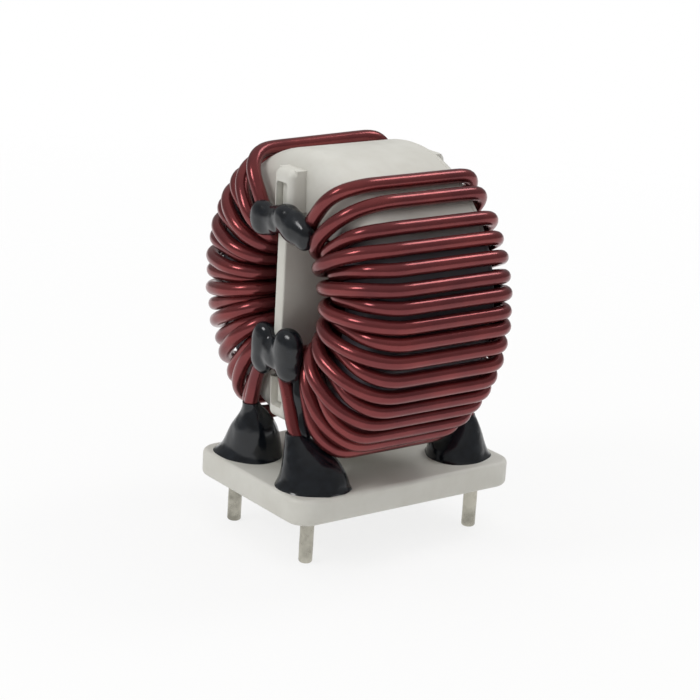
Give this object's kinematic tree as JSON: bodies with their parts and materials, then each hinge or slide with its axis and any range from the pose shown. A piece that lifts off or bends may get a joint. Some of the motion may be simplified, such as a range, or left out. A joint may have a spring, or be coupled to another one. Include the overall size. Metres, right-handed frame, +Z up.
{
  "type": "vertical toroidal common-mode choke",
  "caption": "Vertical toroidal common-mode choke: enamelled wire windings on a cased ferrite ring that stands on a pinned base plate, with epoxy cones at the leads.",
  "frame": {"origin": "centre of the four pins on the base's underside, where the part sits on its board", "axes": "+Z up from the board; +X across the ring, from the left winding to the right one; +Y along the ring's axis, from the front face with the slotted rib to the lid"},
  "size_m": [0.038, 0.032, 0.0469],
  "materials": {
    "white_plastic": "moulded, satin",
    "enamelled_wire": "clear dark red enamel over copper",
    "black_epoxy": "cured glossy",
    "tinned_pin": "dip tinned, dull",
    "ferrite": "sintered, matt"
  },
  "bodies": {
    "root": {"base": "white_plastic", "case_cup": "white_plastic", "case_lid": "white_plastic", "ferrite_core": "ferrite", "divider": "white_plastic", "right_winding": "enamelled_wire", "left_winding": "enamelled_wire", "pin_front_right": "tinned_pin", "pin_front_left": "tinned_pin", "pin_back_right": "tinned_pin", "pin_back_left": "tinned_pin", "epoxy_front_right": "black_epoxy", "epoxy_front_left": "black_epoxy", "epoxy_back_right": "black_epoxy", "epoxy_back_left": "black_epoxy", "glue_top": "black_epoxy", "glue_bottom": "black_epoxy"}
  },
  "joints": []
}
